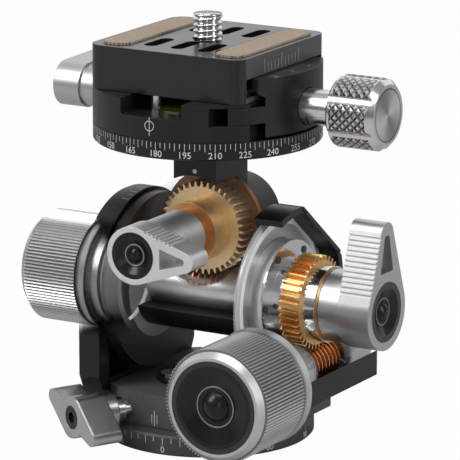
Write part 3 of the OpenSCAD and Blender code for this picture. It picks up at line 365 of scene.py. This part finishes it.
def helix_thread(name, body, finish, radius, depth, pitch, start, end, inward=False):
    """A threaded wall on the middle axis: a grid of points whose radius follows the thread."""
    points, faces, rows = [], [], round((end - start) / pitch * rows_a_turn)
    for row in range(rows + 1):
        z = start + (end - start) * row / rows
        taper = min(1.0, row / run_out_rows, (rows - row) / run_out_rows)
        for k in range(thread_sides):
            phase = (z / pitch - k / thread_sides) % 1.0
            crest = min(1.0, max(0.0, (1 - abs(2 * phase - 1)) * 1.5 - 0.2))
            r = radius + depth * crest * taper if inward else radius - depth * (1 - crest) * taper
            a = 2 * math.pi * k / thread_sides
            points.append((r * math.cos(a), r * math.sin(a), z))
    for row in range(rows):
        for k in range(thread_sides):
            a, b = row * thread_sides + k, row * thread_sides + (k + 1) % thread_sides
            faces.append((a, b, b + thread_sides, a + thread_sides))
    if not inward:
        faces.append(tuple(range(thread_sides - 1, -1, -1)))
        faces.append(tuple(range(rows * thread_sides, (rows + 1) * thread_sides)))
    return add_mesh(name, points, faces, finish, body)


helix_thread("tripod_thread_turns", "base", hub_steel, radius=4.2, depth=0.5, pitch=1.588,
             start=0.35, end=7.4, inward=True)

# Yoke: one anodised aluminium foot with two upright arms, screwed together. The
# right arm is cut open, and the front of the left one is drawn ghosted, so that
# the drive behind them shows.
tilt_height = 32.2
ghost_low, ghost_high, ghost_front, ghost_slope, slant_start, slant_end = -10.0, -6.0, 2.0, 0.75, -0.5, 4.0
shoulder_clear = 0.9
black = anodised("black_anodised")
# The foot's black is lighter still than the base disc's: a painted highlight.
wear(anodised("black_anodised_foot", shade=0.095, matt=0.42), "foot")
wear(black, "foot_cover")


def front_shoulder(place):
    """1 on the ghosted front shoulder of the left side, 0 on what is drawn solid."""
    forward, rise = axis_of(place, "Y") * -1, axis_of(place, "Z") - tilt_height
    above, in_front = fade(rise, ghost_low, ghost_high), fade(forward, 0.0, ghost_front)
    past_slant = fade(forward - rise * ghost_slope, slant_start, slant_end)
    return above * past_slant * in_front


wear(anodised("black_anodised_arm", cover=lambda place: 1 - front_shoulder(place) * shoulder_clear),
     "left_arm", "left_arm_cover")
dark_inside = anodised("black_anodised_dark", matt=0.3, edge=0.12)
wear(dark_inside, "right_arm")
wear(anodised("grey_anodised", shade=0.018, matt=0.4, edge=0.12), "worm_block")

# Shoulder wall: the flat at the back of the right arm's rim, closed by a thin wall
# from the arm's floor to its face. It is of one piece with the arm.
arm_floor, arm_face, floor_sink = 17.2, 22.6, 1.2
shoulder_turn, wall_inner, wall_outer, inner_half, outer_half = math.radians(38.4), 16.2, 17.2, 11.0, 10.55


def on_shoulder(along, out):
    """A place in the plane of the arm, from the run along the flat and the height over the tilt axis."""
    return (along * math.cos(shoulder_turn) + out * math.sin(shoulder_turn),
            tilt_height - along * math.sin(shoulder_turn) + out * math.cos(shoulder_turn))


shoulder = [on_shoulder(*spot) for spot in ((-outer_half, wall_outer), (outer_half, wall_outer),
                                            (inner_half, wall_inner), (-inner_half, wall_inner))]
add_mesh("arm_shoulder", [(x, y, z) for x in (arm_floor - floor_sink, arm_face) for y, z in shoulder],
         [(0, 1, 2, 3), (7, 6, 5, 4)] + [(k, k + 4, (k + 1) % 4 + 4, (k + 1) % 4) for k in range(4)],
         dark_inside, "yoke", smooth=False)


# Pan index: one long line and two short ones on the front of the foot, engraved and
# filled with white enamel, over the scale of the base disc.
def wall_facing(direction, distance):
    """Places marks on an upright flat wall; u runs to the right, v up."""
    a = math.radians(direction)

    def place(u, v):
        return (distance * math.cos(a) - u * math.sin(a), distance * math.sin(a) + u * math.cos(a), v)
    return place


index_x, index_gap = -2.3, 0.65
engrave("pan_index", "yoke", [(index_x, 0.08, 4.75, 8.2), (index_x - index_gap, 0.07, 5.3, 7.3),
                              (index_x + index_gap, 0.07, 5.3, 7.3)], [],
        wall_facing(-90, -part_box("foot")[0].y / MM + mark_lift))

# Tilt scale: fine lines engraved across the rounded edge of the left arm, a longer
# one at every ten degrees.
arm_edge, arm_right, rim_margin, rim_half, rim_long, rim_short = 20.2, -15.6, 0.25, 0.05, 1.9, 1.2


def arm_rim(u, v):
    a, reach = math.radians(90) - u / arm_edge, arm_edge + mark_lift
    return (v, -reach * math.cos(a), tilt_height + reach * math.sin(a))


rim_top, rim_arc = arm_right - rim_margin, arm_edge * math.radians(1)
rim_bars = [(-turn * rim_arc, rim_half, rim_top - (rim_short if turn % 10 else rim_long), rim_top)
            for turn in range(-20, 96, 5)]
engrave("arm_scale", "yoke", rim_bars, [], arm_rim)


# Small bright fittings: the screws of the arm's cover, the round insert of the foot's
# cover and the stop pin of the clamp, all turned from steel.
def turned_steel(name, shade=0.72, matt=0.16, line_scale=7.0):
    material, shader, place = begin_finish(name)
    lines = grain(place, line_scale, 3.0, 0.7)
    steel = blend_colours(lines, tint(shade, 0.94, 0.94, 0.95), tint(shade, 1.05, 1.05, 1.06))
    into(shader, Base_Color=steel, Metallic=1.0, Roughness=matt + lines * 0.08,
         Normal=relief(lines, 0.1, 0.008, 0.08))
    return material


bright = turned_steel("bright_steel")
wear(bright, "cover_screws", "foot_level", "stop_pin")


# Housings drawn ghosted: thin clear shells round the worms and the gears, so that
# the drive shows. They are real housings on the real head.
def reach_from(place, across, centre):
    """The distance from a line through centre, in the plane of the two axes that across names."""
    u, v = (axis_of(place, which) - middle for which, middle in zip(across, centre))
    return (u * u + v * v) ** 0.5


def clear_shell(name, cover, edge, tone, brighter=1.1, metal=0.0, window=None):
    """cover is how solid a face seen square on is drawn, edge what the rim adds, window what is clear."""
    material, shader, place = begin_finish(name)
    mist = grain(place, 0.25, 2.0)
    rim = place.node("ShaderNodeLayerWeight", {}, {"Blend": 0.3}, out="Facing")
    solid = (rim * edge + cover) * (0.9 + mist * 0.2)
    if window:
        solid = solid * (1 - window(place))
    into(shader, Base_Color=blend_colours(mist, tone, tuple(min(1, part * brighter) for part in tone)),
         Roughness=0.14 + mist * 0.06, Metallic=metal)
    draw_ghosted(material, shader, solid)
    return material


tilt_centre = (0.0, tilt_height)
lip_start, lip_end, lip_clear = 17.2, 17.4, 0.75
window_half, window_end, window_low, window_high = 6.5, 9.0, 13.0, 16.0


def clear_rim(place):
    """The outer part of the sight ring is clear, the inner part is drawn solid."""
    return fade(reach_from(place, "YZ", tilt_centre), lip_start, lip_end) * lip_clear


def front_worm_window(place):
    """The part of the front tube that is drawn open, round the worm and the wheel."""
    return ((1 - fade(abs(axis_of(place, "Y")), window_half, window_end))
            * fade(axis_of(place, "Z"), window_low, window_high))


wear(clear_shell("clear_ring", cover=0.86, edge=0.4, tone=(0.9, 0.905, 0.92), window=clear_rim),
     "sight_ring")
wear(clear_shell("clear_gear_shell", cover=0.0, edge=0.16, tone=(0.62, 0.64, 0.67)), "gear_housing")
wear(clear_shell("clear_front_tube", cover=0.72, edge=0.3, tone=(0.62, 0.63, 0.65), metal=0.75,
                 window=front_worm_window), "worm_tube_front")


# Pan lock: a bright steel screw with a cast wing, held on by a black socket screw.
# The wing is satin plated, with softly rounded flanks.
def satin_silver(name, shade=0.56, matt=0.3, edge=0.16):
    material, shader, place = begin_finish(name)
    beads, clouds = grain(place, 7.0, 4.0, 0.75), grain(place, 0.16, 2.0, 0.5)
    silver = blend_colours(clouds, tint(shade, 0.92, 0.92, 0.925), tint(shade, 1.08, 1.08, 1.085))
    into(shader, Base_Color=silver, Metallic=1.0, Roughness=matt + clouds * 0.06 + beads * 0.06,
         Normal=relief(beads, 0.12, 0.012, edge))
    return material


tone_blend = 0.1


def gloss_black(name, across=None, centre=None, lip=None):
    """Glossy black. Past the radius lip round its centre the face is a greyer flat ring."""
    material, shader, place = begin_finish(name)
    haze = grain(place, 0.6, 2.0)
    glaze = blend_colours(haze, (0.004, 0.004, 0.0045), (0.009, 0.009, 0.01))
    if lip:
        ring = fade(reach_from(place, across, centre), lip - tone_blend, lip + tone_blend)
        glaze = blend_colours(ring, glaze, (0.032, 0.032, 0.033))
    into(shader, Base_Color=glaze, Roughness=0.2 + haze * 0.1, Specular_IOR_Level=0.35,
         Normal=relief(grain(place, 9.0), 0.05, 0.006, 0.1))
    return material


wear(satin_silver("satin_silver_wing", matt=0.2, edge=0.5), "pan_lock_wing")
wear(bright, "pan_lock_screw")
wear(gloss_black("glossy_black"), "wing_bolt")

# Worm gears: brass wheels and bronze worms, hobbed and left bright, with fine cutter
# lines on their flanks. The side tilt's disc and the seal are darker bronze.
roll_height = 45.8
roll_centre, stain_shares = (0.0, roll_height), (0.8, 0.72, 0.6)


def gear_metal(name, colour, matt=0.2, hub_radius=None, hub_tone_and_shade=None):
    """Brass or bronze. The wheel of the side tilt has a darker copper middle: copper in tone, darkened with
    painted shade of its recess.
    """
    material, shader, place = begin_finish(name)
    lines, stain = grain(place, 4.0, 4.0, 0.7), grain(place, 0.3, 2.0)
    stained = tuple(part * share for part, share in zip(colour, stain_shares))
    metal = blend_colours(stain, stained, colour)
    if hub_radius:
        # The middle inside hub_radius is copper with painted shade: darker, as the recess round the hub.
        reach = reach_from(place, "XZ", roll_centre)
        outside = fade(reach, hub_radius - tone_blend, hub_radius + tone_blend)
        metal = blend_colours(outside, hub_tone_and_shade, metal)
    into(shader, Base_Color=metal, Metallic=1.0, Roughness=matt + lines * 0.12 + stain * 0.05,
         Normal=relief(lines, 0.18, 0.012, 0.06))
    return material


wear(gear_metal("gear_brass", (0.93, 0.6, 0.27)), "tilt_wheel")
wear(gear_metal("gear_brass_pale", (1.0, 0.78, 0.46), matt=0.3, hub_radius=6.8,
                hub_tone_and_shade=(0.66, 0.37, 0.16)), "side_wheel")
wear(gear_metal("worm_bronze", (0.80, 0.42, 0.18)), "front_worm", "side_worm", "worm_bush")
wear(gear_metal("dull_bronze", (0.6, 0.36, 0.18), matt=0.3), "tilt_seal")
wear(gear_metal("dark_bronze", (0.3, 0.16, 0.08), matt=0.3), "roll_disc")

# Tilt knobs: turned aluminium with a straight knurl, satin silver, with a dished
# black cap pressed into the face and a thin bright ring round its dome.
knob_reach, knurl_deep, knob_lip, lever_lip = 12.4, 0.45, 8.9, 5.2
front_centre = (25.55, 18.6)


def knurled_silver(name, across, centre, shade):
    """Satin silver with painted shade darkening the floor of the knurl. across names the two axes that the
    knob turns in.
    """
    material, shader, place = begin_finish(name)
    reach = reach_from(place, across, centre)
    # Painted shade: the floor of the knurl is darkened toward near black.
    knurl_shade = ((1 - fade(reach, knob_reach - knurl_deep, knob_reach - tone_blend))
               * (reach > knob_reach - 1.6 * knurl_deep))
    beads, clouds = grain(place, 7.0, 4.0, 0.75), grain(place, 0.16, 2.0, 0.5)
    silver = blend_colours(clouds, tint(shade, 0.93, 0.93, 0.935), tint(shade, 1.07, 1.07, 1.075))
    into(shader, Base_Color=blend_colours(knurl_shade * 0.75, silver, (0.06, 0.06, 0.062)), Metallic=1.0,
         Roughness=0.32 + clouds * 0.05 + beads * 0.05, Normal=relief(beads, 0.12, 0.012, 0.06))
    return material


wear(knurled_silver("satin_silver_front", "XZ", front_centre, shade=0.62), "front_knob")
# The side knob's silver is a darker copy of the front knob's: painted shade.
wear(knurled_silver("satin_silver_side", "YZ", tilt_centre, shade=0.56), "side_knob")
wear(gloss_black("front_cap_black", "XZ", front_centre, knob_lip), "front_knob_cap")
wear(gloss_black("side_cap_black", "YZ", tilt_centre, knob_lip), "side_knob_cap")
thin_ring = turned_steel("thin_ring_steel", shade=0.34, matt=0.3)
wear(thin_ring, "front_knob_ring", "side_knob_ring")
wear(hub_steel, "front_collar", "side_collar", "roll_axle", "pan_hub")

# Release levers: machined teardrops, bead blasted and satin plated, with ribs cut
# across one flank for the thumb, and a black cap and thin ring like the knobs'.
wear(satin_silver("satin_silver_lever", shade=0.6, matt=0.28, edge=0.22), "tilt_lever")
# The roll lever's silver is a paler copy of the tilt lever's: a painted highlight where the key light falls
# on it.
wear(satin_silver("satin_silver_roll", shade=0.84, matt=0.4, edge=0.14), "roll_lever")
wear(gloss_black("tilt_cap_black", "YZ", tilt_centre, lever_lip), "tilt_lever_cap")
wear(gloss_black("roll_cap_black", "XZ", roll_centre, lever_lip), "roll_lever_cap")
wear(thin_ring, "tilt_lever_ring", "roll_lever_ring")

# Forward tilt stage: the black disc and cradle carry the side worm in its tube, and
# the bright drum on the right, held by six small screws, turns in the arm's bearing.
disc_centre, disc_blend, disc_clear, disc_shoulder_clear = 12.6, 0.15, 0.5, 0.85
opening_half, opening_rise, opening_height, opening_cover = 7.8, 6.0, 5.2, 0.06


def ghosted_disc():
    """The tilt disc: black outside, and clear like glass over the end of the worm tube."""
    material, shader, place = begin_finish("black_anodised_disc")
    beads, reach = grain(place, 5.5, 4.0, 0.7), reach_from(place, "YZ", tilt_centre)
    middle = 1 - fade(reach, disc_centre - disc_blend, disc_centre + disc_blend)
    into(shader, Base_Color=blend_colours(middle, (0.012, 0.012, 0.013), (0.8, 0.81, 0.83)),
         Roughness=0.36 + beads * 0.06 - middle * 0.12, Normal=relief(beads, 0.16, 0.02, 0.09),
         Specular_IOR_Level=0.38)
    draw_ghosted(material, shader,
                 1 - middle * disc_clear - (1 - middle) * front_shoulder(place) * disc_shoulder_clear)
    return material


def ghosted_tube():
    """The side worm's tube: satin silver, drawn open over the worm."""
    material, shader, place = begin_finish("satin_silver_tube")
    beads, along = grain(place, 7.0, 4.0, 0.75), axis_of(place, "X") / opening_half
    rise = (axis_of(place, "Z") - tilt_height - opening_rise) / opening_height
    away = fade((along * along + rise * rise) ** 0.5, 0.9, 1.0)
    into(shader, Base_Color=blend_colours(beads, (0.7, 0.7, 0.705), (0.78, 0.78, 0.785)), Metallic=1.0,
         Roughness=0.32 + beads * 0.08, Normal=relief(beads, 0.12, 0.012, 0.1))
    draw_ghosted(material, shader, opening_cover + away * (1 - opening_cover))
    return material


wear(black, "cradle", "roll_bearing")
wear(ghosted_disc(), "tilt_disc")
wear(ghosted_tube(), "worm_tube_side")
chrome = turned_steel("chrome", matt=0.1, line_scale=3.0)
wear(chrome, "tilt_drum", "tilt_axle")
wear(anodised("blued_screw", shade=0.05, matt=0.3), "drum_screws")

# Drum bearing: a pale turned ring pressed into the right arm. It gives way here to a
# shallower ring, level with the floor of the cut arm.
bearing_start, bearing_face, bearing_bore, bearing_out, bearing_sides = 16.0, 17.3, 12.85, 15.85, 96
bearing_points, bearing_faces = [], []
for k in range(bearing_sides):
    a, n = 2 * math.pi * k / bearing_sides, (k + 1) % bearing_sides
    for x, r in ((bearing_start, bearing_bore), (bearing_face, bearing_bore), (bearing_face, bearing_out),
                 (bearing_start, bearing_out)):
        bearing_points.append((x, r * math.cos(a), tilt_height + r * math.sin(a)))
    bearing_faces += [(4 * k + i, 4 * k + (i + 1) % 4, 4 * n + (i + 1) % 4, 4 * n + i) for i in range(4)]
pale_ring = satin_silver("pale_ring", shade=0.66, matt=0.4, edge=0.1)
bearing = add_mesh("drum_bearing", bearing_points, bearing_faces, pale_ring, "yoke",
                   smooth=False)
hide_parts("tilt_bearing")

# Neck and scale ring: one black block carries the scale of the panning clamp, with
# a small white dot at the zero of the side tilt.
wear(black, "neck", "scale_ring")
clamp_radius = 24.9
ring_scale("clamp_scale", "roll_stage", radius=clamp_radius, zero=-265.6, step=2.5, half=0.055,
           lengths=(1.6, 1.15), rim=69.4, figure_step=15, figure_line=66.85)
dot_radius, dot_height, dot_sides = 0.5, 59.0, 16
dot_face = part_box("neck")[0].y / MM - mark_lift
dot = [(dot_radius * math.cos(a), dot_face, dot_height + dot_radius * math.sin(a))
       for a in (2 * math.pi * k / dot_sides for k in range(dot_sides))]
add_mesh("tilt_zero_dot", dot, [tuple(range(dot_sides))], enamel_finish, "roll_stage")

# Clamp: a round black block with one fixed jaw, a milled pocket for the level and
# an engraved index over the scale, a circle with a line through it.
wear(black, "clamp_body")


def level_liquid():
    material, shader, place = begin_finish("level_liquid")
    swirl = grain(place, 0.5, 2.0)
    into(shader, Base_Color=blend_colours(swirl, (0.006, 0.008, 0.001), (0.05, 0.06, 0.008)),
         Roughness=0.06 + swirl * 0.04, Coat_Weight=1.0)
    return material


wear(level_liquid(), "clamp_level")
circle_in, circle_out, circle_height, circle_sides = 1.0, 1.14, 72.7, 24
line_half, line_low, line_high = 0.07, 70.6, 74.6
index_place = upright_ring(clamp_radius + mark_lift, -89.2)
index_points = [index_place(r * math.cos(a), circle_height + r * math.sin(a))
                for a in (2 * math.pi * k / circle_sides for k in range(circle_sides))
                for r in (circle_in, circle_out)]
index_faces = [(2 * k, 2 * n, 2 * n + 1, 2 * k + 1)
               for k, n in ((k, (k + 1) % circle_sides) for k in range(circle_sides))]
index_faces.append(tuple(range(len(index_points), len(index_points) + 4)))
index_points += [index_place(u, v) for u, v in ((-line_half, line_low), (line_half, line_low),
                                                (line_half, line_high), (-line_half, line_high))]
add_mesh("clamp_index", index_points, index_faces, enamel_finish, "clamp", smooth=False)

# Clamp knob: turned steel with bands of diamond knurl between six smooth flutes,
# and a mirror-turned disc set into its face.
clamp_centre = (0.0, 75.1)
diamond_radius, diamond_floor, diamond_start, diamond_end, diamond_count = 7.8, 7.35, 34.0, 42.6, 27
groove_in, groove_out = 5.5, 5.75


def angle_about(place, centre):
    """The turn about the clamp knob's axis, in radians."""
    y, z = (axis_of(place, which) - middle for which, middle in zip("YZ", centre))
    return z.math("ARCTAN2", y)


def diamond_knurl():
    material, shader, place = begin_finish("knurled_chrome")
    along, around = axis_of(place, "X"), angle_about(place, clamp_centre) * diamond_radius
    pitch = 2 * math.pi * diamond_radius / diamond_count

    def ridge(run):
        return abs((run / pitch).math("FRACT") - 0.5) * 2

    deep = (ridge(around + along).math("MINIMUM", ridge(around - along)) * 1.6).math("MINIMUM", 1.0)
    band = ((reach_from(place, "YZ", clamp_centre) > diamond_floor) * (along > diamond_start)
            * (along < diamond_end))
    # Painted shade: the grooves of the knurl are darkened toward dark grey.
    into(shader, Base_Color=blend_colours(deep * band + (1 - band), (0.2, 0.2, 0.21), (0.74, 0.74, 0.75)),
         Metallic=1.0, Roughness=0.16 + grain(place, 6.0) * 0.08, Normal=relief(deep * band, 1.0, 0.35))
    return material


def turned_face():
    """A faced disc: fine rings cut by the tool, a rim groove, and a painted sheen, two light and two dark
    wedges round its middle.
    """
    material, shader, place = begin_finish("turned_face")
    reach = reach_from(place, "YZ", clamp_centre)
    rings, groove = cut_lines(reach, 14.0), (reach > groove_in) * (reach < groove_out)
    # Painted highlight and painted shade in wedges, by the turn about the knob's axis.
    painted_sheen = (angle_about(place, clamp_centre) * 2.0 + 0.6).math("SINE") * 0.5 + 0.5
    faced = blend_colours(painted_sheen, (0.34, 0.34, 0.35), (0.86, 0.86, 0.87))
    into(shader, Base_Color=blend_colours(groove, faced, (0.12, 0.12, 0.13)), Metallic=1.0,
         Roughness=0.2 + rings * 0.15, Normal=relief(rings, 0.35, 0.02), Anisotropic=0.7)
    return material


wear(diamond_knurl(), "clamp_knob")
wear(turned_face(), "clamp_knob_cap")

# Pan clamp lever: a cast wing on a short screw, which locks the clamp to its scale ring.
# It is satin plated like the wing of the pan lock.
wear(satin_silver("satin_silver_cast", shade=0.52, matt=0.32, edge=0.35), "clamp_lever")

# Moving jaw: black like the clamp. A short scale engraved on its top is for centring
# the camera plate.
wear(black, "moving_jaw")
jaw_face, jaw_centre, jaw_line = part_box("moving_jaw")[1].z / MM + mark_lift, -2.5, 22.2
jaw_step, jaw_half, jaw_low, jaw_long, jaw_short = 1.4, 0.05, 0.7, 1.9, 1.4
jaw_figure, jaw_figure_line = 1.3, -0.2
jaw_bars = [(jaw_step * k, jaw_half, jaw_low, jaw_short if k % 5 else jaw_long) for k in range(-5, 6)]
jaw_words = [(text, jaw_figure, jaw_step * k, jaw_figure_line)
             for text, k in (("10", -5), ("0", 0), ("10", 5))]
engrave("jaw_scale", "jaw", jaw_bars, jaw_words, lambda u, v: (jaw_line - v, jaw_centre + u, jaw_face))

# Camera plate: a black dovetail plate with a small ruler on its right flank, and two
# tan rubber strips, glued into their beds and moulded with rows of fine square studs.
plate_right, flank_start, flank_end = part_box("plate")[1].x / MM, 0.12, 0.04


def plate_finish():
    """Black anodised, with a finer finish than the clamp; its flanks are painted paler with brushed lines, a
    painted highlight.
    """
    material, shader, place = begin_finish("plate_anodised")
    beads, brushed = grain(place, 5.5, 4.0, 0.7), cut_lines(axis_of(place, "Z"), 6.0)
    flank = fade(abs(axis_of(place, "X")), plate_right - flank_start, plate_right - flank_end)
    ground = blend_colours(beads, (0.008, 0.008, 0.0085), (0.012, 0.012, 0.0125))
    # Painted highlight: the flanks are painted a paler grey, with brushed lines in it.
    flank_highlight = blend_colours(brushed, (0.06, 0.06, 0.061), (0.1, 0.1, 0.102))
    into(shader, Base_Color=blend_colours(flank, ground, flank_highlight), Roughness=0.2 + beads * 0.05 + flank * 0.2,
         Normal=relief(beads, 0.08, 0.02, 0.22), Specular_IOR_Level=0.5)
    return material


wear(plate_finish(), "plate")
stud_pitch, stud_flank = 0.9, 5


def studded_rubber():
    material, shader, place = begin_finish("studded_rubber")

    def tooth(run):
        return ((0.5 - abs((run / stud_pitch).math("FRACT") - 0.5)) * stud_flank).math("MINIMUM", 1.0)

    studs, dust = tooth(axis_of(place, "X")) * tooth(axis_of(place, "Y")), grain(place, 3.0)
    # Painted shade: the grooves between the studs are darkened toward dark brown.
    into(shader, Base_Color=blend_colours(studs * 0.8 + dust * 0.2, (0.1, 0.07, 0.05), (0.58, 0.46, 0.36)),
         Roughness=0.72 + dust * 0.1, Normal=relief(studs + dust * 0.1, 0.9, 0.22))
    return material


wear(studded_rubber(), "plate_pads")
ruler_start, ruler_step, ruler_half, ruler_low, ruler_long, ruler_short = -8.5, 1.46, 0.05, 83.3, 3.0, 2.0
ruler = [(ruler_start + ruler_step * k, ruler_half, ruler_low,
          ruler_low + (ruler_short if k % 5 else ruler_long)) for k in range(11)]
engrave("plate_ruler", "camera_plate", ruler, [], wall_facing(0, plate_right + mark_lift))

# Camera screw: a chromed quarter inch screw, twenty turns to the inch, held captive in
# the plate by its flat head. The plain solid gives way to these two.
threaded = helix_thread("camera_screw_thread", "camera_bolt", chrome, radius=3.175,
                        depth=0.5, pitch=1.27, start=86.6, end=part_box("camera_screw")[1].z / MM)
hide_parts("camera_screw")
head_radius, shank_radius, head_low, head_top, shank_end, head_sides = 6.8, 2.875, 80.0, 82.2, 87.0, 48
head_profile = [(0, head_low), (head_radius, head_low), (head_radius, head_top), (shank_radius, head_top),
                (shank_radius, shank_end)]
rows, head_points, head_faces = len(head_profile), [], []
for k in range(head_sides):
    a, n = 2 * math.pi * k / head_sides, (k + 1) % head_sides
    head_points += [(r * math.cos(a), r * math.sin(a), z) for r, z in head_profile]
    head_faces += [(k * rows + i, n * rows + i, n * rows + i + 1, k * rows + i + 1) for i in range(rows - 1)]
add_mesh("camera_screw_head", head_points, head_faces, chrome, "camera_bolt", smooth=False)
